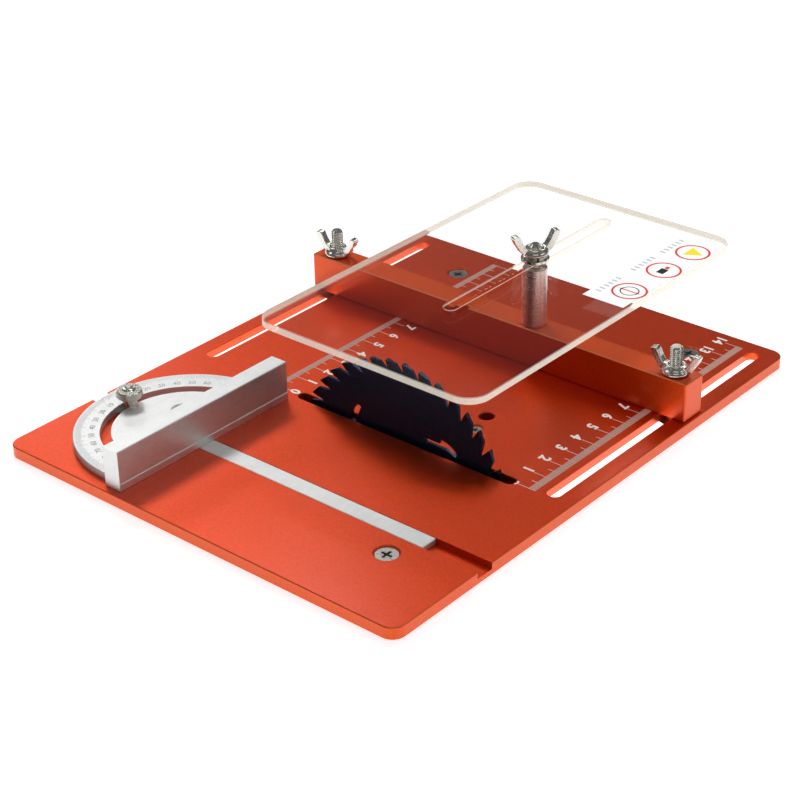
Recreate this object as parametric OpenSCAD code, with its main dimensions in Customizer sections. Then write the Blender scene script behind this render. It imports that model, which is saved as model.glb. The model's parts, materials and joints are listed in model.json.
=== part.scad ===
// Table insert for a small saw and router bench.
// A slotted plate carries a circular saw blade on its arbor, a rip fence that slides in two
// side slots, a clear guard on a post, and a miter gauge that runs in a groove.
// Origin: the middle of the four corner screws, on the plate's underside.
// +X is the feed direction, +Y runs from the blade to the rip fence, +Z is up.

/* [Table plate] */
// Size of the plate along the feed
plate_w = 192; // [188:1:200]
// Size of the plate across the feed
plate_l = 244; // [240:1:252]
// Thickness of the plate
plate_t = 5; // [4.5:0.1:5]
// Radius of the plate's corners
corner_r = 5.5; // [4:0.5:8]
// Chamfer round the plate's upper edge
plate_chamfer = 0.3; // [0.2:0.1:1]
// Distance between the corner screws along the feed
screw_span_x = 119.4; // [110:0.2:130]
// Distance between the corner screws across the feed
screw_span_y = 188; // [180:1:200]
// Width of a side slot
side_slot_w = 5.6; // [5.4:0.1:6]
// Length of a side slot, end to end
side_slot_l = 139.5; // [130:0.5:140]
// Thickness of the lip over the pocket that holds the fence bolts' heads
slot_lip = 3.4; // [3:0.1:4]
// Width of the miter groove
groove_w = 8; // [7.8:0.1:9]
// Depth of the miter groove
groove_d = 2.6; // [2.6:0.1:3]

/* [Blade and arbor] */
// Diameter of the blade over its tips
blade_d = 102; // [96:1:104]
// Depth of the arbor's axis below the plate's top
arbor_drop = 19.8; // [19.5:0.1:22]
// Number of teeth
teeth = 40; // [24:2:48]
// Thickness of the blade body
blade_t = 1.2; // [1:0.1:1.6]
// Width of the cut made by the tips
kerf = 1.8; // [1.7:0.1:2.2]
// Length of the plate's blade slot
blade_slot_l = 106; // [104:1:112]
// Width of the plate's blade slot
blade_slot_w = 4.9; // [4:0.1:6]
// Diameter of the arbor shaft
shaft_d = 8; // [7.9:0.1:8]
// Outer diameter of a bearing
bearing_d = 22; // [21.8:0.1:22]
// Width of a bearing
bearing_w = 7; // [6.8:0.1:7]

/* [Rip fence] */
// Length of the fence bar
fence_l = 189.7; // [186:0.1:192]
// Thickness of the fence bar
fence_t = 12; // [11:0.5:14]
// Height of the fence bar
fence_h = 16.4; // [14:0.2:18]
// Distance between the two fence bolts
bolt_span = 172; // [170:1:174]
// How far a fence bolt stands above the fence
bolt_stand = 11.5; // [10:0.5:12]
// Gap from the blade to the middle of the fence bar
fence_gap = 80; // [60:1:120]

/* [Guard] */
// Diameter of the guard post
post_d = 10; // [9:0.5:12]
// Height of the guard post
post_h = 25; // [24:0.5:30]
// Width of the clear guard, along the feed
guard_w = 105; // [95:0.5:110]
// Length of the clear guard, across the feed
guard_l = 169; // [160:1:176]
// Thickness of the clear guard
guard_t = 3; // [2.5:0.5:4]
// Radius of the guard's corners
guard_r = 9; // [8:1:13]
// Length of the slot in the guard
guard_slot_l = 105; // [90:1:110]
// Width of the slot in the guard
guard_slot_w = 5.4; // [5.3:0.1:5.8]

/* [Miter gauge] */
// Length of the bar in the groove
bar_l = 155.7; // [150:0.1:160]
// Thickness of the bar
bar_t = 2.5; // [2:0.1:2.5]
// Radius of the protractor's rim
rim_r = 41.7; // [41:0.1:43.3]
// Thickness of the protractor plate
head_t = 3; // [2.5:0.5:3.5]
// Radius of the arc slot's middle line
arc_r = 29.4; // [28:0.1:31]
// Width of the arc slot
arc_w = 4.3; // [4.2:0.1:4.6]
// Half of the angle that the arc slot covers
arc_half = 67; // [64:1:70]
// Length of the miter fence
miter_l = 88.4; // [86:0.1:88.6]
// Thickness of the miter fence
miter_t = 7.8; // [7:0.1:9]
// Height of the miter fence above the table
miter_h = 16.5; // [14:0.5:18]

/* [Hidden] */
$fn = 64;

// Small distances
gap = 0.05;        // running gap between pieces that move on each other
slide_gap = 0.1;   // gap under what slides on the table
over = 1;          // how far a cutter runs past a face

// Places on the plate
top = plate_t;
plate_x = -4.5;    // middle of the plate from the screw pattern's centre
plate_y = -5.4;
blade_x = 13.2;    // arbor axis
blade_y = -30.2;   // plane of the blade
arbor_z = top - arbor_drop;
blade_slot_x = 13.2;
side_slot_x = bolt_span / 2;
side_slot_y = blade_y + 70.25;
mouth = 0.2;       // chamfer round the mouth of a hole or slot

// Screws and bolts
m5_r = 2.5;
m5_hole_r = 2.55;
corner_head_r = 4.2;
corner_hole_r = 4.6;
corner_sunk = 0.7;        // how far a corner screw's head lies below the face
corner_screw_l = 16;
small_head_r = 2.5;
small_hole_r = 3;
small_sunk = 0.8;         // the same for a housing screw
small_screw_r = 1.5;
small_screw_l = 14;
sunk = 0.25;              // the same for a screw in the protractor
head_screw_head_r = 2.1;
head_screw_r = 1.25;
housing_screw_x = 17.3;   // to each side of the arbor
housing_screw_y = blade_y + 22;
tool_hole_r = 3.1;
rim_bevel = 0.4;          // chamfer round an open hole in the plate
tool_hole_x = 14.85;      // to each side of the arbor
tool_hole_y = blade_y + 32.1;

// Arbor, as distances from the plane of the blade
flange_r = 13;
flange_t = 4;
blade_bore_r = 8;
housing_y0 = 6;
housing_y1 = 26;
front_bearing_y = 7;
rear_bearing_y = 19;
cover_t = 2;
cover_screw_r = 1;
cover_screw_pcr = 12.75;
drive_y0 = 28.5;
drive_end_y = 45;
drive_r = 3;
clip_groove_r = 3.65;
nut_end_y = -12.5;
ball_r = 1.98;
ball_ring_r = 7.5;
balls = 7;
race_gap = 0.04;
groove_r = ball_r + race_gap;
inner_race_r = 5.95;
outer_race_r = 9.05;
outer_shell_r = bearing_d / 2;

// Rip fence, guard and wing nuts
fence_x = plate_x - 0.15;
fence_y = blade_y + fence_gap;
fence_z0 = top + slide_gap;
fence_z1 = top + fence_h;
guard_x = blade_x + 1.3;
guard_y = fence_y - 21;
pocket_w = 12.4;
pocket_l = side_slot_l + 7;
lip_z = top - slot_lip;
bolt_washer_r = 6;
bolt_washer_t = 1;
post_z1 = fence_z1 + post_h;
guard_z0 = post_z1 + gap;
guard_z1 = guard_z0 + guard_t;
washer_z0 = guard_z1 + gap;
washer_t = 1;
spring_t = 1.2;
guard_nut_z0 = washer_z0 + washer_t + spring_t + gap;
stud_z1 = guard_nut_z0 + 4.6;
label_t = 0.12;

// Miter gauge
pivot_x = -53.3;
pivot_y = blade_y - 50;
bar_x1 = 67.2;
bar_z0 = top - groove_d + slide_gap;
head_z0 = top + slide_gap;
head_z1 = head_z0 + head_t;
miter_x0 = pivot_x + 4.8;
miter_x1 = miter_x0 + miter_t;
tongue_x1 = miter_x1 - 1.8;
tongue_gap = 0.03;
knob_r = 5.2;
pivot_head_r = 4.55;
arc_screw_r = 2;

// ---------------------------------------------------------------- shared shapes

// A box between two corners
module block(x0, x1, y0, y1, z0, z1) {
    translate([x0, y0, z0]) cube([x1 - x0, y1 - y0, z1 - z0]);
}

// Turns a shape drawn along +Z so that it runs along +Y, at distance y from the blade
module on_arbor(y) {
    translate([blade_x, blade_y + y, arbor_z]) rotate([-90, 0, 0]) children();
}

// A rounded plate that stands on z = 0, with chamfers ct on top and cb below
module slab(w, l, h, r, ct, cb) {
    function side(s) = [
        [-s / 2 + cb, 0], [s / 2 - cb, 0], [s / 2, cb], [s / 2, h - ct],
        [s / 2 - ct, h], [-s / 2 + ct, h], [-s / 2, h - ct], [-s / 2, cb]
    ];
    rotate([90, 0, 90]) linear_extrude(w - 2 * r, center = true) polygon(side(l));
    rotate([90, 0, 0]) linear_extrude(l - 2 * r, center = true) polygon(side(w));
    for (x = [-1, 1], y = [-1, 1])
        translate([x * (w / 2 - r), y * (l / 2 - r), 0])
            rotate_extrude()
                polygon([[0, 0], [r - cb, 0], [r, cb], [r, h - ct], [r - ct, h], [0, h]]);
}

// A cutter for a slot along Y with round ends; its mouth at z = 0 is chamfered by c
module slot_cutter(l, w, d, c) {
    r = w / 2;
    rotate([90, 0, 0]) linear_extrude(l - w, center = true)
        polygon([[-r, -d], [r, -d], [r, -c], [r + c, 0], [r + c, over],
                 [-r - c, over], [-r - c, 0], [-r, -c]]);
    for (y = [-1, 1]) translate([0, y * (l - w) / 2, 0]) hole_cutter(r, d, c);
}

// A cutter for a round hole, with its mouth at z = 0 chamfered by c
module hole_cutter(r, d, c) {
    rotate_extrude()
        polygon([[0, -d], [r, -d], [r, -c], [r + c, 0], [r + c, over], [0, over]]);
}

// A cutter for a countersunk hole: a cone for a head of radius head_r that sits a distance s
// below z = 0, continued up to radius wall_r, with the mouth at z = 0 chamfered by c
module countersink(head_r, r, d, s, wall_r, c) {
    rotate_extrude()
        polygon([[0, -d], [r, -d], [r, -s - head_r + r], [wall_r, -s - head_r + wall_r],
                 [wall_r, -c], [wall_r + c, 0], [wall_r + c, over], [0, over]]);
}

// A countersunk cross-head screw, head up, with its face at z = 0. Its neck is slightly
// thinner than the thread and reaches down to neck_l
module cross_screw(head_r, r, l, neck_l) {
    bevel = 0.4;
    neck_r = r - 0.1;
    slot = 0.28 * head_r;
    arm = 0.57 * head_r;
    difference() {
        rotate_extrude()
            polygon([[0, -l], [r - bevel, -l], [r, -l + bevel], [r, -neck_l], [neck_r, -neck_l],
                     [neck_r, neck_r - head_r - 0.2], [head_r, -0.2], [head_r, 0], [0, 0]]);
        for (a = [0, 90]) rotate(a)
            block(-arm, arm, -slot / 2, slot / 2, -0.4 * head_r, over);
    }
}

// A hexagon prism, w across its flats
module hexagon(w, h) {
    cylinder(h = h, r = w / 2 / cos(30), $fn = 6);
}

// A ring between two radii
module ring(r0, r1, h) {
    difference() {
        cylinder(h = h, r = r1);
        translate([0, 0, -over]) cylinder(h = h + 2 * over, r = r0);
    }
}

// A wing nut that stands on z = 0: a conical hub and two raised ears
module wing_nut(hub_h) {
    ear = [[2.9, 1.0], [4.6, 0.5], [6.9, 2.4], [9.3, 6.0], [10.1, 8.2], [9.7, 9.0],
           [8.2, 9.2], [7.3, 8.6], [5.9, 5.7], [4.3, hub_h - 0.2], [2.9, hub_h - 0.4]];
    ear_t = 2.4;
    difference() {
        union() {
            rotate_extrude()
                polygon([[0, 0], [5.2, 0], [5.5, 0.3], [5.5, 1.0], [4.1, hub_h], [0, hub_h]]);
            for (a = [0, 180]) rotate([90, 0, a])
                linear_extrude(ear_t, center = true) polygon(ear);
        }
        translate([0, 0, -over]) cylinder(h = hub_h + 2 * over, r = m5_hole_r);
    }
}

// A knurled thumb screw: head radius r, collar radius c, from the collar's foot z0 to z1
module thumb_head(r, c, z0, z1, rim) {
    bevel = 0.5;
    translate([0, 0, z0]) cylinder(h = z1 - rim - z0 + 0.2, r = c);
    difference() {
        translate([0, 0, z1 - rim]) rotate_extrude()
            polygon([[0, 0], [r - bevel, 0], [r, bevel], [r, rim - bevel], [r - bevel, rim],
                     [0, rim]]);
        translate([0, 0, z1 - 0.9]) cylinder(h = 2, r1 = 0.5 * r, r2 = 0.5 * r + 2);
        for (a = [0, 90]) rotate(a)
            block(-0.4 * r, 0.4 * r, -0.5, 0.5, z1 - 1.9, z1);
    }
}

// ---------------------------------------------------------------- table

module plate_screw_places() {
    for (x = [-1, 1], y = [-1, 1])
        translate([x * screw_span_x / 2, y * screw_span_y / 2, top]) children();
}

module housing_screw_places() {
    for (x = [-1, 1])
        translate([blade_x + x * housing_screw_x, housing_screw_y, top]) children();
}

module side_slot_places() {
    for (x = [-1, 1]) translate([plate_x + x * side_slot_x, side_slot_y, 0]) children();
}

module table_plate() {
    deep = plate_t + over;
    color([0.80, 0.24, 0.13]) difference() {
        translate([plate_x, plate_y, 0])
            slab(plate_w, plate_l, plate_t, corner_r, plate_chamfer, 0.3);
        side_slot_places() translate([0, 0, top])
            slot_cutter(side_slot_l, side_slot_w, deep, mouth);
        side_slot_places() mirror([0, 0, 1])
            slot_cutter(pocket_l, pocket_w, lip_z, mouth);
        translate([blade_slot_x, blade_y, top]) rotate(90)
            slot_cutter(blade_slot_l, blade_slot_w, deep, mouth);
        block(plate_x - plate_w, plate_x + plate_w, pivot_y - groove_w / 2,
              pivot_y + groove_w / 2, top - groove_d, top + over);
        for (x = [-1, 1])
            translate([blade_x + x * tool_hole_x, tool_hole_y, top])
                hole_cutter(tool_hole_r, deep, rim_bevel);
        plate_screw_places() countersink(corner_head_r + 0.1, m5_r + 0.1, deep,
                                         corner_sunk + 0.2, corner_hole_r, rim_bevel);
        housing_screw_places() countersink(small_head_r + 0.1, small_screw_r + 0.1, deep,
                                           small_sunk + 0.2, small_hole_r, rim_bevel);
    }
}

module corner_screws() {
    color([0.45, 0.45, 0.46]) plate_screw_places() translate([0, 0, -corner_sunk])
        cross_screw(corner_head_r, m5_r, corner_screw_l, plate_t - corner_sunk);
}

module housing_screws() {
    color([0.62, 0.62, 0.63]) housing_screw_places() translate([0, 0, -small_sunk])
        cross_screw(small_head_r, small_screw_r, small_screw_l, plate_t - small_sunk);
}

// ---------------------------------------------------------------- arbor housing

// Outline of the housing, seen along the arbor: a foot under the plate and a round boss
module housing_outline() {
    boss_r = 14.5;
    foot_w = 47;
    foot_h = 10;
    drop = -arbor_z;
    circle(boss_r);
    translate([-boss_r, -drop]) square([2 * boss_r, drop]);
    translate([-foot_w / 2, -drop]) square([foot_w, foot_h]);
}

module arbor_housing() {
    lip_r = 9.6;
    color([0.30, 0.31, 0.33]) difference() {
        on_arbor(housing_y0) linear_extrude(housing_y1 - housing_y0) housing_outline();
        on_arbor(front_bearing_y) cylinder(h = housing_y1, r = outer_shell_r + 0.02);
        on_arbor(housing_y0 - over) cylinder(h = housing_y1, r = lip_r);
        housing_screw_places() translate([0, 0, -plate_t - 11])
            cylinder(h = 20, r = small_screw_r + 0.05);
        on_arbor(housing_y1 - 8) cover_screw_places()
            cylinder(h = 20, r = cover_screw_r + 0.05);
    }
}

module cover_screw_places() {
    for (a = [-30, 90, 210]) rotate(a) translate([cover_screw_pcr, 0, 0]) children();
}

module bearing_cover() {
    color([0.55, 0.56, 0.58]) difference() {
        on_arbor(housing_y1) cylinder(h = cover_t, r = 14.5);
        on_arbor(housing_y1 - over) cylinder(h = cover_t + 2 * over, r = 6.5);
        on_arbor(housing_y1 - over) cover_screw_places()
            cylinder(h = cover_t + 2 * over, r = cover_screw_r + 0.05);
    }
}

module cover_screws() {
    color([0.62, 0.62, 0.63]) on_arbor(housing_y1 - 6) cover_screw_places() difference() {
        union() {
            cylinder(h = 6 + cover_t, r = cover_screw_r);
            translate([0, 0, 6 + cover_t]) cylinder(h = 1.1, r1 = 1.9, r2 = 1.5);
        }
        for (a = [0, 90]) rotate(a) block(-1, 1, -0.2, 0.2, 6 + cover_t + 0.5, 12);
    }
}

// Both bearings, as children drawn with one bearing's front face at z = 0
module bearing_places() {
    on_arbor(front_bearing_y) children();
    on_arbor(rear_bearing_y) children();
}

module ball_track() {
    translate([0, 0, bearing_w / 2])
        rotate_extrude() translate([ball_ring_r, 0]) circle(groove_r);
}

module bearing_outer_rings() {
    shield_t = 0.4;
    shield_r = 6.2;
    color([0.72, 0.73, 0.75]) bearing_places() {
        difference() {
            ring(outer_race_r, outer_shell_r, bearing_w);
            ball_track();
        }
        for (z = [0, bearing_w - shield_t]) translate([0, 0, z])
            ring(shield_r, outer_race_r + 0.3, shield_t);
    }
}

module bearing_inner_rings() {
    color([0.78, 0.79, 0.80]) bearing_places() difference() {
        ring(shaft_d / 2 + 0.02, inner_race_r, bearing_w);
        ball_track();
    }
}

module bearing_balls() {
    color([0.85, 0.85, 0.86]) bearing_places() for (i = [0 : balls - 1])
        rotate(i * 360 / balls) translate([ball_ring_r, 0, bearing_w / 2]) sphere(ball_r);
}

module bearing_spacer() {
    front = front_bearing_y + bearing_w;
    color([0.70, 0.71, 0.73]) on_arbor(front)
        ring(shaft_d / 2 + 0.02, inner_race_r - 0.2, rear_bearing_y - front);
}

// ---------------------------------------------------------------- arbor and blade

module arbor_shaft() {
    r = shaft_d / 2;
    bevel = 0.6;
    clip_y = housing_y1;
    color([0.74, 0.75, 0.77]) on_arbor(0) rotate_extrude()
        polygon([[0, nut_end_y], [r - bevel, nut_end_y], [r, nut_end_y + bevel], [r, clip_y],
                 [clip_groove_r, clip_y], [clip_groove_r, clip_y + 1], [r, clip_y + 1],
                 [r, drive_y0], [drive_r, drive_y0], [drive_r, drive_end_y - bevel],
                 [drive_r - bevel, drive_end_y], [0, drive_end_y]]);
}

// The open ring in the shaft's groove, behind the rear bearing
module retaining_ring() {
    color([0.40, 0.40, 0.42]) on_arbor(housing_y1 + 0.02) difference() {
        ring(clip_groove_r + 0.02, 5.7, 0.95);
        block(0, 8, -1, 1, -over, 3);
    }
}

module inner_flange() {
    bore = shaft_d / 2 + 0.02;
    back = blade_t / 2;
    collar_end = front_bearing_y;
    color([0.35, 0.36, 0.38]) on_arbor(0) rotate_extrude()
        polygon([[bore, -back], [blade_bore_r - 0.05, -back], [blade_bore_r - 0.05, back],
                 [flange_r, back], [flange_r, back + flange_t - 1],
                 [flange_r - 1, back + flange_t], [inner_race_r - 0.2, back + flange_t],
                 [inner_race_r - 0.2, collar_end], [bore, collar_end]]);
}

module outer_flange() {
    bore = shaft_d / 2 + 0.02;
    color([0.35, 0.36, 0.38]) on_arbor(-blade_t / 2 - flange_t) rotate_extrude()
        polygon([[bore, 0], [flange_r - 1, 0], [flange_r, 1], [flange_r, flange_t],
                 [bore, flange_t]]);
}

module arbor_nut() {
    nut_t = 5;
    color([0.66, 0.67, 0.69]) on_arbor(-blade_t / 2 - flange_t - nut_t) difference() {
        intersection() {
            hexagon(13, nut_t);
            rotate_extrude()
                polygon([[0, 0], [6.6, 0], [7.6, 0.7], [7.6, nut_t], [0, nut_t]]);
        }
        translate([0, 0, -over]) cylinder(h = nut_t + 2 * over, r = shaft_d / 2 + 0.02);
    }
}

// A point of the blade's outline: radius and angle, seen from the miter gauge's side
function polar(r, a) = [r * cos(a), r * sin(a)];

tooth_pitch = 360 / teeth;
tip_r = blade_d / 2;
tooth_phase = 89.2;
root_r = tip_r - 5.7;
tip_len = 3.4;      // length of a carbide tip along the tooth's face
tip_angle = 2;      // width of a carbide tip, in degrees
hook = 0.22;        // lean of a tooth's face, degrees for each millimetre inwards
tooth_back = 0.57;  // end of a tooth's back land, as a part of the pitch

// Angle of a tooth's hooked face at radius r, for the tooth whose tip is at angle a
function face_angle(r, a) = a - (tip_r - r) * hook;

// One tooth, from its back corner over the tip and down the face to the gullet.
// The carbide tip's seat is cut out of it.
function tooth(a) = [
    polar(root_r + 0.1, face_angle(root_r, a - tooth_pitch) + 0.5),
    polar(tip_r - 1.0, a - tooth_back * tooth_pitch),
    polar(tip_r - 0.35, face_angle(tip_r, a) - tip_angle),
    polar(tip_r - tip_len, face_angle(tip_r - tip_len, a) - tip_angle),
    polar(tip_r - tip_len, face_angle(tip_r - tip_len, a)),
    polar(root_r, face_angle(root_r, a) - 0.1)
];

module saw_blade() {
    outline = [for (i = [0 : teeth - 1]) each tooth(tooth_phase + i * tooth_pitch)];
    window = [
        [11.0, 23.7], [18.2, 23.7], [18.4, 25.9], [22.2, 24.95], [24.3, 23.95],
        [26.6, 21.9], [25.8, 20.3], [23.8, 21.1], [21.5, 22.1], [11.7, 22.1]
    ];
    color([0.05, 0.06, 0.10]) translate([blade_x, blade_y + blade_t / 2, arbor_z])
        rotate([90, 0, 0]) linear_extrude(blade_t) difference() {
            polygon(outline);
            circle(blade_bore_r);
            for (a = [0 : 90 : 270]) rotate(a) polygon(window);
        }
}

module carbide_tips() {
    color([0.30, 0.27, 0.25]) translate([blade_x, blade_y + kerf / 2, arbor_z])
        rotate([90, 0, 0]) linear_extrude(kerf) for (i = [0 : teeth - 1]) {
            a = tooth_phase + i * tooth_pitch;
            seat_r = tip_r - tip_len;
            polygon([polar(tip_r, a), polar(seat_r, face_angle(seat_r, a)),
                     polar(seat_r, face_angle(seat_r, a) - tip_angle),
                     polar(tip_r - 0.35, face_angle(tip_r, a) - tip_angle)]);
        }
}

// ---------------------------------------------------------------- rip fence

module fence_bolt_places() {
    for (x = [-1, 1]) translate([plate_x + x * side_slot_x, fence_y, 0]) children();
}

module fence_bar() {
    r = 0.8;
    height = fence_z1 - fence_z0;
    color([0.80, 0.24, 0.13]) difference() {
        translate([fence_x, fence_y, fence_z0]) slab(fence_l, fence_t, height, r, 0.4, 0.3);
        fence_bolt_places() translate([0, 0, top - over]) cylinder(h = 40, r = m5_r + 0.1);
        translate([guard_x, fence_y, fence_z0 + 3]) cylinder(h = 40, r = m5_r + 0.02);
    }
}

module fence_bolt(side) {
    head_h = 3.5;
    z0 = lip_z - gap - bolt_washer_t - head_h;
    z1 = fence_z1 + bolt_stand;
    bevel = 0.6;
    color([0.72, 0.72, 0.72]) translate([plate_x + side * side_slot_x, fence_y, 0]) {
        translate([0, 0, z0]) hexagon(8, head_h);
        translate([0, 0, z0]) rotate_extrude()
            polygon([[0, 0], [m5_r, 0], [m5_r, z1 - z0 - bevel], [m5_r - bevel, z1 - z0],
                     [0, z1 - z0]]);
    }
}

module fence_bolt_left() {
    fence_bolt(-1);
}

module fence_bolt_right() {
    fence_bolt(1);
}

module fence_washers() {
    color([0.75, 0.75, 0.75]) fence_bolt_places()
        translate([0, 0, lip_z - gap - bolt_washer_t]) ring(m5_r + 0.05, bolt_washer_r, bolt_washer_t);
}

module fence_nut(side, turn) {
    color([0.78, 0.78, 0.76])
        translate([plate_x + side * side_slot_x, fence_y, fence_z1 + gap])
            rotate(turn) wing_nut(4);
}

module fence_nut_left() {
    fence_nut(-1, 6);
}

module fence_nut_right() {
    fence_nut(1, 8);
}

// ---------------------------------------------------------------- guard

module guard_post() {
    bevel = 0.3;
    r = post_d / 2;
    bore = m5_r + 0.05;
    color([0.66, 0.62, 0.60]) translate([guard_x, fence_y, fence_z1]) rotate_extrude()
        polygon([[bore, 0], [r - bevel, 0], [r, bevel], [r, post_h - bevel],
                 [r - bevel, post_h], [bore, post_h]]);
}

module guard_stud() {
    z0 = fence_z0 + 3.2;
    dome = 1;
    color([0.72, 0.72, 0.72]) translate([guard_x, fence_y, 0]) {
        translate([0, 0, z0]) cylinder(h = stud_z1 - dome - z0, r = m5_r);
        translate([0, 0, stud_z1 - dome]) cylinder(h = dome, r1 = m5_r, r2 = m5_r - dome);
    }
}

module guard_plate() {
    edge = 0.3;
    slot_y = fence_y - 3;
    color([0.85, 0.90, 0.92, 0.35]) difference() {
        translate([guard_x, guard_y, guard_z0]) slab(guard_w, guard_l, guard_t, guard_r, edge, edge);
        translate([guard_x, slot_y, guard_z1])
            slot_cutter(guard_slot_l, guard_slot_w, guard_t + over, edge);
    }
}

module guard_label() {
    label_w = 18.5;
    label_l = 69.5;
    x1 = guard_x + guard_w / 2 - 1.25;
    y1 = guard_y + guard_l / 2 - 8;
    color([0.95, 0.95, 0.93])
        block(x1 - label_w, x1, y1 - label_l, y1, guard_z1, guard_z1 + label_t);
}

module guard_washer() {
    color([0.62, 0.62, 0.60]) translate([guard_x, fence_y, washer_z0])
        ring(m5_r + 0.1, 5.65, washer_t);
}

module spring_washer() {
    cut = 1;
    color([0.45, 0.45, 0.45]) translate([guard_x, fence_y, washer_z0 + washer_t])
        difference() {
            ring(m5_r + 0.1, 4.7, spring_t);
            rotate([0, 20, -40]) block(0, 8, -cut / 2, cut / 2, -3, 5);
        }
}

module guard_nut() {
    color([0.78, 0.78, 0.76]) translate([guard_x, fence_y, guard_nut_z0])
        rotate(63) wing_nut(3.6);
}

// ---------------------------------------------------------------- miter gauge

module miter_bar() {
    w = groove_w - 0.3;
    bevel = 0.3;
    color([0.80, 0.81, 0.80]) difference() {
        translate([bar_x1 - bar_l / 2, pivot_y, bar_z0]) slab(bar_l, w, bar_t, 0.6, bevel, bevel);
        translate([pivot_x, pivot_y, bar_z0 - over]) cylinder(h = 9, r = m5_r + 0.02);
        translate([pivot_x - arc_r, pivot_y, bar_z0 - over])
            cylinder(h = 9, r = arc_screw_r + gap);
    }
}

module pivot_screw() {
    color([0.72, 0.72, 0.68]) translate([pivot_x, pivot_y, 0]) {
        translate([0, 0, bar_z0]) cylinder(h = head_z1 + 1 - bar_z0, r = m5_r);
        thumb_head(pivot_head_r, 3.4, head_z1 + gap, top + 10.7, 3);
    }
}

// A cutter for the arc slot round the pivot, with round ends
module arc_slot() {
    r0 = arc_r - arc_w / 2;
    r1 = arc_r + arc_w / 2;
    reach = 2 * rim_r;
    translate([0, 0, -over]) intersection() {
        ring(r0, r1, head_t + 2 * over);
        linear_extrude(head_t + 2 * over)
            polygon([[0, 0], polar(reach, 180 - arc_half), polar(reach, 180 - arc_half / 3),
                     polar(reach, 180 + arc_half / 3), polar(reach, 180 + arc_half)]);
    }
    for (a = [-arc_half, arc_half])
        translate(concat(polar(arc_r, 180 + a), [-over]))
            cylinder(h = head_t + 2 * over, r = arc_w / 2);
}

module head_screw_places() {
    for (y = [-28, 0, 28])
        translate([(miter_x0 + tongue_x1) / 2, pivot_y + y, head_z0]) children();
}

module protractor_head() {
    edge = 0.3;
    color([0.83, 0.84, 0.83]) difference() {
        union() {
            translate([pivot_x, pivot_y, head_z0]) intersection() {
                rotate_extrude()
                    polygon([[0, 0], [rim_r, 0], [rim_r, head_t - edge],
                             [rim_r - edge, head_t], [0, head_t]]);
                block(-60, 0.1, -60, 60, -over, 10);
            }
            block(pivot_x, miter_x0 + 0.1, pivot_y - rim_r, pivot_y + rim_r, head_z0, head_z1);
            block(miter_x0, tongue_x1, pivot_y - miter_l / 2, pivot_y + miter_l / 2,
                  head_z0, head_z1);
        }
        translate([pivot_x, pivot_y, head_z0]) arc_slot();
        translate([pivot_x, pivot_y, 0]) cylinder(h = 20, r = m5_hole_r);
        head_screw_places() mirror([0, 0, 1])
            countersink(head_screw_head_r + 0.1, head_screw_r + 0.05, head_t + over,
                        sunk + 0.2, head_screw_head_r + 0.2, 0.1);
    }
}

module miter_fence() {
    foot = head_z0;
    step_z = head_z1 + tongue_gap;
    x0 = miter_x0;
    x1 = miter_x1;
    groove = 0.35;
    bevel = 0.3;
    z1 = top + miter_h;
    profile = [
        [x0, step_z], [tongue_x1 + tongue_gap, step_z], [tongue_x1 + tongue_gap, foot],
        [x1, foot], [x1, step_z - groove], [x1 - groove, step_z], [x1, step_z + groove],
        [x1, z1 - bevel], [x1 - bevel, z1], [x0 + bevel, z1], [x0, z1 - bevel]
    ];
    color([0.82, 0.83, 0.82]) difference() {
        translate([0, pivot_y, 0]) rotate([90, 0, 0])
            linear_extrude(miter_l, center = true) polygon(profile);
        head_screw_places() cylinder(h = head_t + 6, r = head_screw_r + 0.03);
    }
}

module miter_fence_screws() {
    color([0.62, 0.62, 0.63]) head_screw_places() mirror([0, 0, 1])
        translate([0, 0, -sunk])
            cross_screw(head_screw_head_r, head_screw_r, 8, head_t - sunk);
}

module lock_knob() {
    color([0.74, 0.74, 0.70]) translate([pivot_x - arc_r, pivot_y, 0]) {
        translate([0, 0, bar_z0 + 0.2])
            cylinder(h = head_z1 + 1 - bar_z0, r = arc_screw_r);
        thumb_head(knob_r, 2.9, head_z1 + gap, top + 9.1, 3);
    }
}

// ---------------------------------------------------------------- assembly

table_plate();
corner_screws();
housing_screws();
arbor_housing();
bearing_outer_rings();
bearing_cover();
cover_screws();
bearing_balls();
bearing_inner_rings();
bearing_spacer();
arbor_shaft();
retaining_ring();
inner_flange();
saw_blade();
carbide_tips();
outer_flange();
arbor_nut();
fence_bar();
fence_bolt_left();
fence_bolt_right();
fence_washers();
fence_nut_left();
fence_nut_right();
guard_post();
guard_stud();
guard_plate();
guard_label();
guard_washer();
spring_washer();
guard_nut();
miter_bar();
pivot_screw();
protractor_head();
miter_fence();
miter_fence_screws();
lock_knob();
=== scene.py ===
"""Looks of the table insert: camera, light, surfaces and the fine detail that the CAD leaves out."""

import json
import math

import bmesh
import bpy
from mathutils import Matrix, Vector


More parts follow.
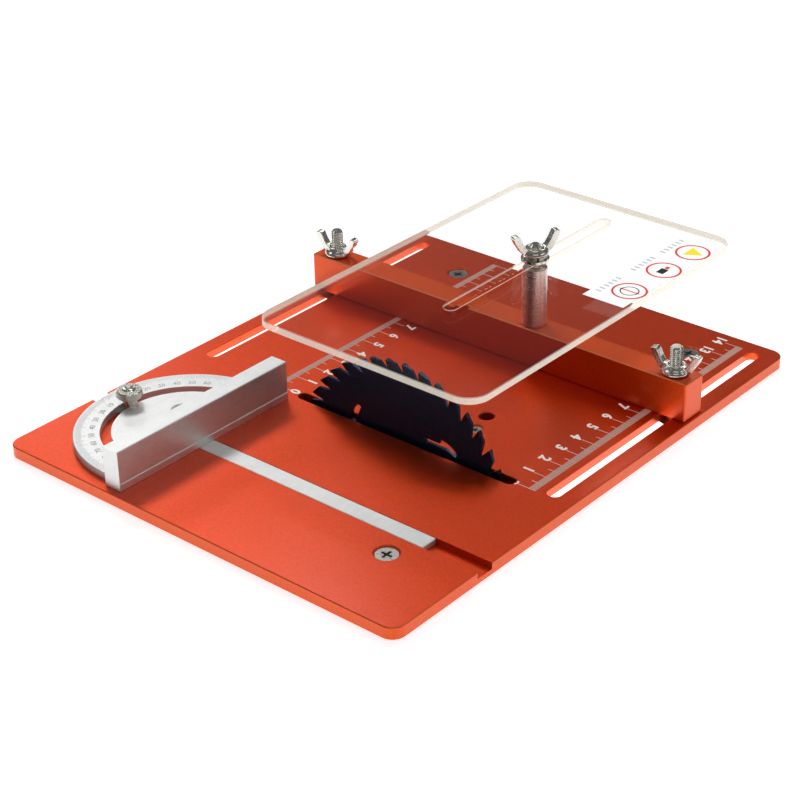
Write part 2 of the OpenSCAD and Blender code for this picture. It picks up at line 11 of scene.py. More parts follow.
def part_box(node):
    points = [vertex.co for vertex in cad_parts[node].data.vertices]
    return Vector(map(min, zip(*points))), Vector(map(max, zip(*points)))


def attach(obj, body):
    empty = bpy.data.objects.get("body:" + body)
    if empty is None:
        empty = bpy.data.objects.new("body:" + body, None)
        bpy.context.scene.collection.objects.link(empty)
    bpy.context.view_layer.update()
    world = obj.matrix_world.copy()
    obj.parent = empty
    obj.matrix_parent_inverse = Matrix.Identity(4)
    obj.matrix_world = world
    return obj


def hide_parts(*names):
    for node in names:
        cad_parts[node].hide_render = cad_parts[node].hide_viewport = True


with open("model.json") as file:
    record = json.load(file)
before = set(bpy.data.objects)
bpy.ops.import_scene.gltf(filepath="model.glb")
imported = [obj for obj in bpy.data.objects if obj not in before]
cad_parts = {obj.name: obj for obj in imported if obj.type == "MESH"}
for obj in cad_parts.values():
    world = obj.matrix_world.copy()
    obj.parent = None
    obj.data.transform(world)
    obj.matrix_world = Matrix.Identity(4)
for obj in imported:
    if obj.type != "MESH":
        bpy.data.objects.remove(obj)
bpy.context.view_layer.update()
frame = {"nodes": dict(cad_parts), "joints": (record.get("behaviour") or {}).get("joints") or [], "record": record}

MM = 0.001
NODES = frame["nodes"]
JOINTS = {joint["name"]: joint for joint in frame["joints"]}
UP = Vector((0, 0, 1))

plate_lo, plate_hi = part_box("table_plate")
plate_mid = (plate_lo + plate_hi) / 2
TOP = plate_hi.z
AXIS = Vector(JOINTS["blade_spin"]["pos_m"])


def table_point(x, y, z=0.0):
    """A place given in millimetres from the plate's middle (x), the blade (y) and the plate's top (z)."""
    return Vector((plate_mid.x + x * MM, AXIS.y + y * MM, TOP + z * MM))


# ---------------------------------------------------------------- camera

CAMERA_AZIMUTH = 40.736
CAMERA_ELEVATION = 29.185
CAMERA_ROLL = -1.093
CAMERA_DISTANCE = 0.76925
CAMERA_LENS = 88.908
AIM = Vector((plate_mid.x, plate_mid.y, TOP)) + Vector((-1.4, -3.96, 0)) * MM


def make_camera():
    azimuth, elevation = math.radians(CAMERA_AZIMUTH), math.radians(CAMERA_ELEVATION)
    back = Vector((math.sin(azimuth) * math.cos(elevation),
                   -math.cos(azimuth) * math.cos(elevation), math.sin(elevation)))
    right = Vector((math.cos(azimuth), math.sin(azimuth), 0))
    turn = Matrix((right, back.cross(right), back)).transposed().to_4x4()
    data = bpy.data.cameras.new("camera")
    data.lens = CAMERA_LENS
    data.sensor_width = 36
    data.clip_start, data.clip_end = 0.01, 20
    camera = bpy.data.objects.new("camera", data)
    bpy.context.scene.collection.objects.link(camera)
    camera.matrix_world = (Matrix.Translation(AIM + back * CAMERA_DISTANCE) @ turn
                           @ Matrix.Rotation(math.radians(CAMERA_ROLL), 4, "Z"))
    bpy.context.scene.camera = camera


make_camera()

# ---------------------------------------------------------------- materials


class Surface:
    """A Principled material, built up node by node in object space (1 unit = 1 mm)."""

    def __init__(self, name, **sockets):
        self.mat = bpy.data.materials.new(name)
        self.mat.use_nodes = True
        self.tree = self.mat.node_tree
        self.bsdf = self.tree.nodes["Principled BSDF"]
        for socket, value in sockets.items():
            if socket == "Base_Color":
                value = (*value, 1)
                self.mat.diffuse_color = value
            self.bsdf.inputs[socket.replace("_", " ")].default_value = value
        coords = self.tree.nodes.new("ShaderNodeTexCoord")
        scale = self.tree.nodes.new("ShaderNodeMapping")
        scale.inputs["Scale"].default_value = (1000, 1000, 1000)
        self.tree.links.new(coords.outputs["Object"], scale.inputs["Vector"])
        self.place = scale.outputs["Vector"]

    def node(self, kind, inputs=(), **settings):
        made = self.tree.nodes.new("ShaderNode" + kind)
        for key, value in settings.items():
            setattr(made, key, value)
        for key, value in dict(inputs).items():
            if isinstance(value, bpy.types.NodeSocket):
                self.tree.links.new(value, made.inputs[key])
            else:
                made.inputs[key].default_value = value
        return made

    def math(self, operation, *values):
        return self.node("Math", dict(enumerate(values)), operation=operation).outputs[0]

    def stretched(self, x, y, z, origin=(0, 0, 0)):
        """The place, measured from an origin (metres) and scaled by (x, y, z)."""
        shifted = self.node("VectorMath", {0: self.place, 1: tuple(-c / MM for c in origin)},
                            operation="ADD").outputs[0]
        return self.node("VectorMath", {0: shifted, 1: (x, y, z)}, operation="MULTIPLY").outputs[0]

    def noise(self, scale, detail=2.0, rough=0.5, place=None):
        """Noise with about `scale` cells to the millimetre."""
        return self.node("TexNoise", {"Vector": place or self.place, "Scale": scale,
                                      "Detail": detail, "Roughness": rough}).outputs["Fac"]

    def map(self, value, low, high, to_low, to_high):
        return self.node("MapRange", {"Value": value, "From Min": low, "From Max": high,
                                      "To Min": to_low, "To Max": to_high}).outputs["Result"]

    def mix(self, share, a, b):
        def colour(c):
            return c if isinstance(c, bpy.types.NodeSocket) else (*c, 1)

        made = self.node("Mix", data_type="RGBA")
        for key, value in ((0, share), (6, colour(a)), (7, colour(b))):
            if isinstance(value, bpy.types.NodeSocket):
                self.tree.links.new(value, made.inputs[key])
            else:
                made.inputs[key].default_value = value
        return made.outputs[2]

    def normal_z(self):
        normal = self.node("NewGeometry").outputs["Normal"]
        return self.node("SeparateXYZ", {0: normal}).outputs["Z"]

    def chamfers(self):
        """1 on faces that lean at 45 degrees, such as the machined chamfers, and 0 elsewhere."""
        lean = self.math("ABSOLUTE", self.math("SUBTRACT", self.normal_z(), 0.707))
        return self.map(lean, 0.12, 0.2, 1, 0)

    def colour(self, socket):
        self.tree.links.new(socket, self.bsdf.inputs["Base Color"])

    def rough(self, socket):
        self.tree.links.new(socket, self.bsdf.inputs["Roughness"])

    def link(self, socket, name):
        self.tree.links.new(socket, self.bsdf.inputs[name])

    def bump(self, height, strength, distance=0.1):
        made = self.node("Bump", {"Height": height, "Strength": strength, "Distance": distance * MM})
        self.tree.links.new(made.outputs["Normal"], self.bsdf.inputs["Normal"])


def shade(colour, factor):
    return tuple(min(1.0, c * factor) for c in colour)


def anodised(name, colour, edge, rough=0.43, side=None):
    """Bead-blasted, dyed anodising; its 45-degree faces take the edge tone, partly cut metal and partly a painted
    highlight, and side is a painted-light tone for the upright faces.
    """
    s = Surface(name, Base_Color=colour, Metallic=0.93, Coat_Weight=0.65, Coat_Roughness=0.2,
                Coat_IOR=1.45)
    grain = s.noise(1.5, 5, 0.72)
    cloud = s.noise(0.02, 3)
    cut = s.chamfers()

    def grained(tone):
        return s.mix(s.map(grain, 0.32, 0.68, 0, 1), shade(tone, 0.76), shade(tone, 1.15))

    body = s.mix(s.map(cloud, 0.35, 0.65, 0, 0.3), grained(colour), shade(colour, 0.9))
    # Upright faces take the side tone, lighter and more orange than the top: painted light.
    if side:
        upright = s.map(s.math("ABSOLUTE", s.normal_z()), 0.1, 0.3, 1, 0)
        body = s.mix(upright, body, grained(side))
    # The 45-degree faces take the edge tone: partly the cut metal of the chamfers, partly a painted highlight.
    s.colour(s.mix(cut, body, edge))
    spread = s.map(grain, 0.3, 0.7, rough - 0.07, rough + 0.07)
    s.rough(s.math("ADD", spread, s.math("MULTIPLY", cut, 0.06)))
    s.bump(grain, s.map(cut, 0, 1, 0.4, 0.02), 0.05)
    return s.mat


def machined(name, colour, rough, metal=1.0, along=(0.02, 1, 1), grain_scale=9.0, bump=0.12,
             stain=0.12, spread=0.07, origin=(0, 0, 0), **more):
    """Metal with fine parallel tool or polishing lines and faint stains; its roughness varies by spread."""
    s = Surface(name, Base_Color=colour, Metallic=metal, **more)
    lines = s.noise(grain_scale, 2, 0.6, s.stretched(*along, origin=origin))
    spots = s.noise(0.25, 4, 0.6)
    body = s.mix(s.map(lines, 0.3, 0.7, 0, 1), shade(colour, 0.9), shade(colour, 1.1))
    s.colour(s.mix(s.map(spots, 0.45, 0.75, 0, stain), body, shade(colour, 0.6)))
    s.rough(s.map(lines, 0.3, 0.7, rough - spread, rough + spread))
    s.bump(lines, bump, 0.03)
    return s.mat


def turned(name, colour, rough, metal=1.0, **more):
    """Metal with fine rings round the arbor."""
    s = Surface(name, Base_Color=colour, Metallic=metal, **more)
    place = s.stretched(1, 1, 1, origin=AXIS)
    split = s.node("SeparateXYZ", {0: place})
    radius = s.math("SQRT", s.math("ADD", s.math("MULTIPLY", split.outputs["X"], split.outputs["X"]),
                                   s.math("MULTIPLY", split.outputs["Z"], split.outputs["Z"])))
    depth = s.math("MULTIPLY", split.outputs["Y"], 0.7)
    rings = s.node("CombineXYZ", {"X": radius, "Y": depth}).outputs[0]
    lines = s.noise(7, 2, 0.6, rings)
    spots = s.noise(0.3, 3)
    body = s.mix(s.map(lines, 0.3, 0.7, 0, 1), shade(colour, 0.85), shade(colour, 1.15))
    s.colour(s.mix(s.map(spots, 0.45, 0.75, 0, 0.2), body, shade(colour, 0.6)))
    s.rough(s.map(lines, 0.3, 0.7, rough - 0.08, rough + 0.08))
    s.bump(lines, 0.15, 0.03)
    return s.mat


RED = (0.87, 0.068, 0.002)
# Red chamfers: partly cut metal, partly a painted highlight.
RED_CUT_EDGE_AND_HIGHLIGHT = (0.90, 0.14, 0.03)
# Upright red faces: painted light, lighter and more orange than the top.
RED_SIDE_PAINTED_LIGHT = (0.87, 0.11, 0.008)

MATERIALS = {
    "red": anodised("anodised_red", RED, RED_CUT_EDGE_AND_HIGHLIGHT, side=RED_SIDE_PAINTED_LIGHT),
    "plated_screw": machined("plated_screw", (0.52, 0.52, 0.50), 0.3),
    # Black anodising with light grey chamfers: partly cut metal, partly a painted highlight.
    "housing": anodised("anodised_black", (0.045, 0.047, 0.052), (0.25, 0.26, 0.28)),
    "cover": turned("turned_aluminium", (0.60, 0.61, 0.62), 0.3),
    "bearing_steel": turned("bearing_steel", (0.64, 0.65, 0.66), 0.16),
    "ground_steel": turned("ground_steel", (0.60, 0.61, 0.62), 0.2),
    "black_steel": turned("black_steel", (0.16, 0.16, 0.16), 0.35),
    "blade": turned("blade_coating", (0.02, 0.05, 0.11), 0.3, metal=0.7),
    "carbide": machined("carbide", (0.05, 0.055, 0.065), 0.3),
    "zinc": machined("zinc_plate", (0.88, 0.86, 0.79), 0.2, along=(1, 1, 0.6), grain_scale=1.2, bump=0.05,
                     stain=0.15),
    "post_steel": machined("post_steel", (0.78, 0.68, 0.64), 0.3, along=(0.02, 0.02, 1), grain_scale=5,
                           bump=0.02, stain=0.04),
    "satin_aluminium": machined("satin_aluminium", (0.93, 0.95, 0.92), 0.46, metal=0.85,
                                along=(1, 0.03, 1), grain_scale=6),
    "nickel": machined("nickel", (0.80, 0.77, 0.69), 0.2, along=(1, 1, 0.3), grain_scale=2, bump=0.01,
                      stain=0.05, spread=0.02),
}


def clear_acrylic():
    """Clear sheet with milky polished edges that carry a painted warm glow.

    The walls of its long slot are see-through up to their top rim, so that only the rim takes the milky tone and
    the painted glow.
    """
    s = Surface("clear_acrylic", Roughness=0.02, IOR=1.01, Coat_Weight=0.5, Coat_Roughness=0.02)
    lo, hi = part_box("guard_plate")
    slot_middle = (JOINTS["guard_swivel"]["pos_m"][0], (lo.y + hi.y) / 2, (lo.z + hi.z) / 2)
    split = s.node("SeparateXYZ", {0: s.stretched(1, 1, 1, origin=slot_middle)})
    across, along = (s.math("ABSOLUTE", split.outputs[axis]) for axis in "XY")
    half_length, half_thickness = ((hi[axis] - lo[axis]) / 2 / MM for axis in (1, 2))
    slot_half_width, slot_margin = 3.4, 8
    in_slot = s.math("MULTIPLY", s.map(across, slot_half_width, slot_half_width + 0.4, 1, 0),
                     s.map(along, half_length - slot_margin, half_length - slot_margin + 1, 1, 0))
    below_rim = s.map(split.outputs["Z"], 0.5 * half_thickness, 0.72 * half_thickness, 1, 0)
    see_through = s.math("MULTIPLY", in_slot, below_rim)
    flat = s.map(s.math("ABSOLUTE", s.normal_z()), 0.5, 0.9, 0, 1)
    saw = s.noise(1.2, 3, 0.6, s.stretched(1, 1, 4))
    edge = s.mix(s.map(saw, 0.3, 0.7, 0, 1), (0.80, 0.74, 0.60), (0.98, 0.94, 0.84))
    s.colour(s.mix(flat, edge, (0.985, 0.99, 0.985)))
    s.link(s.math("MAXIMUM", s.map(flat, 0, 1, 0.35, 1), see_through), "Transmission Weight")
    # Painted glow: the edges give off their own warm light in their edge tone.
    s.link(edge, "Emission Color")
    glow = s.math("MULTIPLY", s.map(flat, 0, 1, 0.35, 0), s.map(see_through, 0, 1, 1, 0))
    s.link(glow, "Emission Strength")
    haze = s.noise(0.15, 3)
    s.rough(s.math("ADD", s.map(haze, 0.4, 0.7, 0.0, 0.02), s.map(flat, 0, 1, 0.2, 0)))
    return s.mat


def ink(name, colour, rough=0.5, painted_glow=0.0):
    """Print or engraving filler, slightly uneven; its upper face gives off a painted glow of the given strength.
    """
    s = Surface(name, Roughness=rough, Emission_Color=(*colour, 1))
    grain = s.noise(3, 3)
    s.colour(s.mix(s.map(grain, 0.3, 0.7, 0, 1), shade(colour, 0.86), colour))
    # Painted light: upward faces glow, lighter than the sides.
    if painted_glow:
        s.link(s.map(s.normal_z(), 0.4, 0.6, 0, painted_glow), "Emission Strength")
    return s.mat


MATERIALS["acrylic"] = clear_acrylic()
# The label and most inks carry a painted glow on their upper faces.
MATERIALS["label"] = ink("label_film", (0.95, 0.95, 0.94), 0.45, painted_glow=0.7)
INKS = {
    "white": ink("filler_white", (0.95, 0.90, 0.85), painted_glow=0.35),
    "rose": ink("filler_thin", (0.90, 0.62, 0.52), painted_glow=0.15),
    "worn": ink("filler_worn", (0.72, 0.34, 0.27), painted_glow=0.1),
    "grey": ink("etched_grey", (0.48, 0.49, 0.50)),
    "faint": ink("etched_thin", (0.68, 0.69, 0.69)),
    "pale": ink("print_grey", (0.62, 0.62, 0.64), painted_glow=0.55),
    "red": ink("print_red", (0.86, 0.04, 0.03), painted_glow=0.5),
    "yellow": ink("print_yellow", (0.95, 0.78, 0.02), painted_glow=0.6),
    "black": ink("print_black", (0.03, 0.03, 0.03)),
}

OWN_FINISH = {
    # The fence bar's red is a lighter copy of the plate's: painted light for its brighter top; its lighter chamfer
    # tone is partly cut metal, partly a painted highlight.
    "fence_bar": anodised("anodised_red_matt", (1.0, 0.11, 0.008), (1.0, 0.28, 0.1), 0.5),
    "spring_washer": machined("spring_steel", (0.50, 0.50, 0.47), 0.28, along=(1, 1, 0.4), grain_scale=4),
}

for row in frame["record"]["subparts"]:
    finish = OWN_FINISH.get(row["node"]) or MATERIALS.get(row["material_slot"])
    if finish:
        for spot in NODES[row["node"]].material_slots:
            spot.material = finish

# ---------------------------------------------------------------- mesh helpers


def wave(turns):
    """A triangle wave from 0 to 1 with a period of one turn."""
    return abs(2 * (turns % 1) - 1)


def ring(centre, radius, z, count):
    """Points round a centre. The radius, in mm, is a number or a function of the angle; z is in metres."""
    points = []
    for i in range(count):
        angle = math.tau * i / count
        r = (radius(angle) if callable(radius) else radius) * MM
        points.append((centre.x + r * math.cos(angle), centre.y + r * math.sin(angle), z))
    return points


def skin(bm, rings, closed=False):
    """A closed skin through rings of points: capped at both ends, or joined end to end."""
    rows = [[bm.verts.new(point) for point in points] for points in rings]
    pairs = list(zip(rows, rows[1:]))
    if closed:
        pairs.append((rows[-1], rows[0]))
    else:
        bm.faces.new(reversed(rows[0]))
        bm.faces.new(rows[-1])
    count = len(rows[0])
    for low, high in pairs:
        for i in range(count):
            j = (i + 1) % count
            bm.faces.new((low[i], low[j], high[j], high[i]))


def prism(bm, outline, z0, z1):
    """A closed prism over an outline of (x, y), all in metres."""
    skin(bm, [[(x, y, z) for x, y in outline] for z in (z0, z1)])


def new_piece(name, bm, material, sharp=40.0):
    """A smooth-shaded object from a bmesh, with edges above an angle kept sharp."""
    bmesh.ops.recalc_face_normals(bm, faces=bm.faces)
    mesh = bpy.data.meshes.new(name)
    bm.to_mesh(mesh)
    bm.free()
    mesh.shade_smooth()
    mesh.set_sharp_from_angle(angle=math.radians(sharp))
    mesh.materials.append(material)
    piece = bpy.data.objects.new(name, mesh)
    bpy.context.scene.collection.objects.link(piece)
    return piece


def middle(node):
    lo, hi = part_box(node)
    return (lo + hi) / 2


def stands_for(piece, node):
    """The piece rides on its node's body and is shown instead of it."""
    body = next(name for name, nodes in frame["record"]["behaviour"]["bodies"].items() if node in nodes)
    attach(piece, body)
    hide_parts(node)


# ---------------------------------------------------------------- bolts and nuts

M5_R = 2.5
M5_PITCH = 0.8
THREAD_DEPTH = 0.42


def thread(bm, centre, z0, z1, bevel):
    """A threaded rod of radius M5_R from z0 to z1 (metres), with both ends bevelled."""
    step = M5_PITCH / 8
    count = round((z1 - z0) / MM / step)
    rings = []
    for i in range(count + 1):
        z = z0 + (z1 - z0) * i / count
        end = min(z - z0, z1 - z) / MM

        def radius(angle):
            groove = min(1, max(0, 1.3 * wave(z / MM / M5_PITCH - angle / math.tau) - 0.15))
            return min(M5_R - THREAD_DEPTH * groove, M5_R - bevel + end)

        rings.append(ring(centre, radius, z, 40))
    skin(bm, rings)


def hexagon(bm, centre, flats, z0, z1):
    """A hexagon head with its corners turned off at both ends."""
    def corner(angle):
        return flats / 2 / math.cos((angle + math.pi / 6) % (math.pi / 3) - math.pi / 6)

    def limited(limit):
        return lambda angle: min(corner(angle), limit)

    inner, outer = flats / 2 * 1.02, flats / 2 * 1.16
    depth = 0.1 * (z1 - z0)
    skin(bm, [ring(centre, limited(inner), z0, 72), ring(centre, limited(outer), z0 + depth, 72),
              ring(centre, limited(outer), z1 - depth, 72), ring(centre, limited(inner), z1, 72)])


def fence_bolt(node):
    head_h, flats = 3.5, 8.0
    lo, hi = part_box(node)
    bm = bmesh.new()
    hexagon(bm, middle(node), flats, lo.z, lo.z + head_h * MM)
    thread(bm, middle(node), lo.z + (head_h - 0.5) * MM, hi.z, 0.7)
    stands_for(new_piece(node + "_threaded", bm, MATERIALS["zinc"]), node)


def guard_stud():
    lo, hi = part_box("guard_stud")
    bm = bmesh.new()
    thread(bm, middle("guard_stud"), lo.z, hi.z, 1.0)
    stands_for(new_piece("guard_stud_threaded", bm, MATERIALS["zinc"]), "guard_stud")


def wing_nut(node, turn, hub_h):
    """A pressed wing nut: a bowl-shaped hub and two thick ears, melted into one smooth skin.

    The hub and the ears are outlines of (radius, height) in millimetres; turn is in degrees.
    """
    foot = middle(node)
    foot.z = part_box(node)[0].z
    ear_half_thickness = 1.6
    hub = [(2.6, 0.3), (2.9, 0), (4.7, 0), (5.3, 0.4), (5.5, 1.0), (5.1, 1.9), (4.3, 2.7), (3.8, hub_h),
           (3.1, hub_h), (2.6, hub_h - 0.4)]
    ear = [(3.2, 0.7), (5.0, 0.5), (6.9, 2.2), (9.2, 5.9), (10.2, 8.2), (9.9, 9.0), (8.1, 9.4),
           (7.3, 8.8), (5.9, 5.9), (4.7, 3.9), (3.2, hub_h - 0.4)]
    bm = bmesh.new()
    skin(bm, [ring(foot, r, foot.z + z * MM, 64) for r, z in hub], closed=True)
    for side in (0, math.pi):
        angle = math.radians(turn) + side
        out = Vector((math.cos(angle), math.sin(angle), 0))
        across = UP.cross(out) * ear_half_thickness * MM
        skin(bm, [[foot + out * r * MM + UP * z * MM + shift for r, z in ear]
                  for shift in (-across, across)])
    rough_nut = new_piece(node + "_cast", bm, MATERIALS["zinc"])
    remesh = rough_nut.modifiers.new("remesh", "REMESH")
    remesh.mode = "VOXEL"
    remesh.voxel_size = 0.2 * MM
    relax = rough_nut.modifiers.new("relax", "SMOOTH")
    relax.factor = 0.5
    relax.iterations = 5
    graph = bpy.context.evaluated_depsgraph_get()
    mesh = bpy.data.meshes.new_from_object(rough_nut.evaluated_get(graph))
    rough_nut.modifiers.clear()
    rough_nut.data = mesh
    mesh.shade_smooth()
    stands_for(rough_nut, node)


def thumb_screw(node, head_r, collar_r, shank_r, shank_top, knurls):
    """A thumb screw with a knurled rim and a dished top.

    The shank ends at shank_top, a height in metres; the radii are in millimetres.
    """
    lo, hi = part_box(node)
    centre = middle(node)
    rim, bevel = 3.0, 0.4
    knurl_depth, steps = 0.10, 10
    dish_r = 0.52 * head_r
    top = hi.z
    profile = [(shank_r - bevel, lo.z), (shank_r, lo.z + bevel * MM), (shank_r, shank_top),
               (collar_r, shank_top), (collar_r, top - rim * MM), (head_r - bevel, top - rim * MM)]
    for i in range(steps + 1):
        profile.append((head_r, top - (rim - bevel - (rim - 2 * bevel) * i / steps) * MM))
    profile += [(head_r - bevel, top), (dish_r, top)]
    for share, depth in ((0.9, 0.2), (0.45, 0.7), (0.28, 0.8), (0.25, 1.3)):
        profile.append((share * dish_r, top - depth * MM))

    def radius_at(r, z):
        if r != head_r:
            return r
        rise = (z - top) / MM * knurls / (math.tau * head_r)

        def knurled(angle):
            turns = angle * knurls / math.tau
            return r - knurl_depth * (wave(turns + rise) + wave(turns - rise))
        return knurled

    bm = bmesh.new()
    skin(bm, [ring(centre, radius_at(r, z), z, 4 * knurls) for r, z in profile])
    stands_for(new_piece(node + "_knurled", bm, MATERIALS["nickel"], 30), node)


fence_bolt("fence_bolt_left")
fence_bolt("fence_bolt_right")
guard_stud()
wing_nut("fence_nut_left", turn=6, hub_h=4.0)
wing_nut("fence_nut_right", turn=8, hub_h=4.0)
wing_nut("guard_nut", turn=63, hub_h=3.1)
head_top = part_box("protractor_head")[1].z + 0.05 * MM
thumb_screw("lock_knob", head_r=5.2, collar_r=2.9, shank_r=2.0, shank_top=head_top, knurls=34)
thumb_screw("pivot_screw", head_r=4.55, collar_r=3.4, shank_r=2.5, shank_top=head_top, knurls=30)

# ---------------------------------------------------------------- rules, scales and label

MARK_PROUD = 0.03 * MM      # how far a mark stands above its surface
MARK_DEEP = 0.04 * MM       # how far it reaches into it


def figure_outline(text, bold):
    """A figure's filled outline as a mesh, scaled to a height of 1 with its middle at the origin."""
    curve = bpy.data.curves.new("figure", "FONT")
    curve.body = text
    curve.offset = bold
    curve.resolution_u = 3
    curve.extrude = 0.5
    holder = bpy.data.objects.new("figure", curve)
    bpy.context.scene.collection.objects.link(holder)
    graph = bpy.context.evaluated_depsgraph_get()
    mesh = bpy.data.meshes.new_from_object(holder.evaluated_get(graph))
    bpy.data.objects.remove(holder)
    xs = [v.co.x for v in mesh.vertices]
    ys = [v.co.y for v in mesh.vertices]
    height = max(ys) - min(ys)
    shift = Vector(((max(xs) + min(xs)) / 2, (max(ys) + min(ys)) / 2, 0))
    for v in mesh.vertices:
        flat = (v.co - shift) / height
        v.co = (flat.x, flat.y, math.copysign(0.5, v.co.z))
    return mesh


def add_figure(bm, text, place, up, height, wide=0.95, bold=0.035):
    """Adds a figure that lies flat at a place on a surface, with its top towards up. Heights in mm."""
    mesh = figure_outline(text, bold)
    right = up.cross(UP)
    thick = MARK_PROUD + MARK_DEEP
    turn = Matrix((right * height * wide * MM, up * height * MM, UP * thick)).transposed().to_4x4()
    mesh.transform(Matrix.Translation(place + UP * (MARK_PROUD - MARK_DEEP) / 2) @ turn)
    fresh = bmesh.new()
    fresh.from_mesh(mesh)
    bmesh.ops.remove_doubles(fresh, verts=fresh.verts, dist=1e-7)
    fresh.to_mesh(mesh)
    fresh.free()
    bm.from_mesh(mesh)
    bpy.data.meshes.remove(mesh)


def add_bar(bm, start, end, width):
    """Adds a flat stroke between two places on a surface; its width is in millimetres."""
    along = (end - start).normalized()
    side = UP.cross(along) * width / 2 * MM
    prism(bm, [(p.x, p.y) for p in (start - side, end - side, end + side, start + side)],
          start.z - MARK_DEEP, start.z + MARK_PROUD)


def flat_marks(name, bm, colour, body):
    """Marks in one ink that ride on a body."""
    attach(new_piece(name, bm, INKS[colour]), body)


def cut_nought(bm, slot_x):
    """The part of a nought that is left beside the round end of the blade's slot."""
    centre_x, centre_y = (slot_x - plate_mid.x) / MM - 1.3, 0.3
    outline = []
    for r_x, r_y, step in ((2.35, 1.9, 1), (1.65, 1.25, -1)):
        for degrees in range(-48, 49, 8):
            angle = math.radians(step * degrees)
            outline.append(table_point(centre_x + r_x * math.cos(angle), centre_y + r_y * math.sin(angle)))
    prism(bm, [(p.x, p.y) for p in outline], TOP - MARK_DEEP, TOP + MARK_PROUD)


def rule(name, base_x, inward, figure_x, ticks, slot_x=None):
    """A centimetre rule along Y from the blade.

    Its ticks start at base_x and reach inward (-1 or 1), and its figures stand at figure_x. ticks holds the
    lengths of the 1, 5 and 10 mm ticks. The nought is cut short if slot_x, the slot's end, is given.
    """
    lines, fill, figures = bmesh.new(), bmesh.new(), bmesh.new()
    fine, half, full = ticks
    for y in range(141):
        length = full if y % 10 == 0 else half if y % 5 == 0 else fine
        width = 0.36 if y % 5 == 0 else 0.24
        add_bar(lines, table_point(base_x, y), table_point(base_x + inward * length, y), width)
    middle_x, sunk = base_x + inward * fine / 2, -MARK_PROUD / MM / 3
    add_bar(fill, table_point(middle_x, -0.3, sunk), table_point(middle_x, 140.3, sunk), fine)
    for number in range(15):
        if number == 0 and slot_x:
            cut_nought(figures, slot_x)
            continue
        place = table_point(figure_x, number * 10 + (0.5 if number < 10 else 0))
        add_figure(figures, str(number), place, Vector((1, 0, 0)), 4.8)
    flat_marks(name + "_lines", lines, "rose", "table")
    flat_marks(name + "_band", fill, "worn", "table")
    flat_marks(name + "_figures", figures, "white", "table")


def slot_end():
    """The +X end of the blade's slot in the plate's top, found on the plate's own vertices."""
    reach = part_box("saw_blade")[1].x + 12 * MM
    near_axis, near_top = 1.2 * MM, TOP - 1 * MM
    return max(v.co.x for v in NODES["table_plate"].data.vertices
               if abs(v.co.y - AXIS.y) < near_axis and v.co.z > near_top and v.co.x < reach)


rule("rule_right", base_x=79.9, inward=-1, figure_x=69.0, ticks=(3.1, 5.3, 8.2), slot_x=slot_end())
rule("rule_left", base_x=-48.5, inward=1, figure_x=-38.0, ticks=(2.8, 4.8, 8.0))


def protractor_scale():
    """Degree ticks round the rim and a figure at every ten degrees."""
    lo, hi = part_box("protractor_head")
    pivot = Vector(JOINTS["miter_swing"]["pos_m"])
    pivot.z = hi.z
    rim_r = (pivot.x - lo.x) / MM
    figure_r = 34.6
    ticks, figures = bmesh.new(), bmesh.new()
    for degrees in range(181):
        angle = math.radians(90 + degrees)
        out = Vector((math.cos(angle), math.sin(angle), 0))
        length = 4.2 if degrees % 10 == 0 else 3.4 if degrees % 5 == 0 else 2.5
        start = pivot + out * (rim_r - 0.7) * MM
        add_bar(ticks, start, start - out * length * MM, 0.13)
        if degrees % 10 == 0 and 0 < degrees < 180:
            number = str(abs(90 - degrees))
            add_figure(figures, number, pivot + out * figure_r * MM, out, 2.3, bold=0.0)
    flat_marks("protractor_ticks", ticks, "faint", "miter_head")
    flat_marks("protractor_figures", figures, "grey", "miter_head")


protractor_scale()


def annulus(bm, centre, r_in, r_out, count=64):
    """A flat ring on a surface."""
    z0, z1 = centre.z - MARK_DEEP, centre.z + MARK_PROUD
    skin(bm, [ring(centre, r_in, z0, count), ring(centre, r_out, z0, count),
              ring(centre, r_out, z1, count), ring(centre, r_in, z1, count)], closed=True)


def polygon_mark(bm, centre, points):
    """A filled flat shape on a surface; points in millimetres from its centre."""
    prism(bm, [(centre.x + x * MM, centre.y + y * MM) for x, y in points],
          centre.z - MARK_DEEP, centre.z + MARK_PROUD)


def rectangle(x0, y0, x1, y1):
    return [(x0, y0), (x1, y0), (x1, y1), (x0, y1)]


def circle_and_bar(shapes, centre):
    annulus(shapes["black"], centre, 3.3, 3.8)
    polygon_mark(shapes["red"], centre, rectangle(-4.4, -0.35, 4.4, 0.35))


def two_blocks(shapes, centre):
    polygon_mark(shapes["black"], centre, rectangle(-1.6, -3.2, 1.6, 1.2))
    polygon_mark(shapes["red"], centre, rectangle(-0.9, 1.6, 0.9, 3.6))


def triangle(shapes, centre):
    corners = [math.radians(degrees) for degrees in (0, 120, 240)]
    polygon_mark(shapes["yellow"], centre, [(4.6 * math.cos(a), 4.6 * math.sin(a)) for a in corners])


def label_symbols():
    """Plain round symbols and grey bars, printed on the label."""
    lo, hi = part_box("guard_label")
    shapes = {colour: bmesh.new() for colour in ("red", "yellow", "black", "pale")}
    ring_in, ring_out = 6.1, 7.0
    bars, bar_step, bar_length, bar_width = 6, 2.7, 2.4, 1.1
    for along, symbol in ((0.19, circle_and_bar), (0.525, two_blocks), (0.82, triangle)):
        centre = Vector((hi.x - ring_in * MM, lo.y + along * (hi.y - lo.y), hi.z))
        annulus(shapes["red"], centre, ring_in, ring_out)
        symbol(shapes, centre)
        for k in range(bars):
            start = Vector((lo.x + 1.6 * MM, centre.y + (k - (bars - 1) / 2) * bar_step * MM, hi.z))
            add_bar(shapes["pale"], start, start + Vector((bar_length * MM, 0, 0)), bar_width)
    for colour, bm in shapes.items():
        flat_marks("label_" + colour, bm, colour, "guard")


label_symbols()

# ---------------------------------------------------------------- stage and light

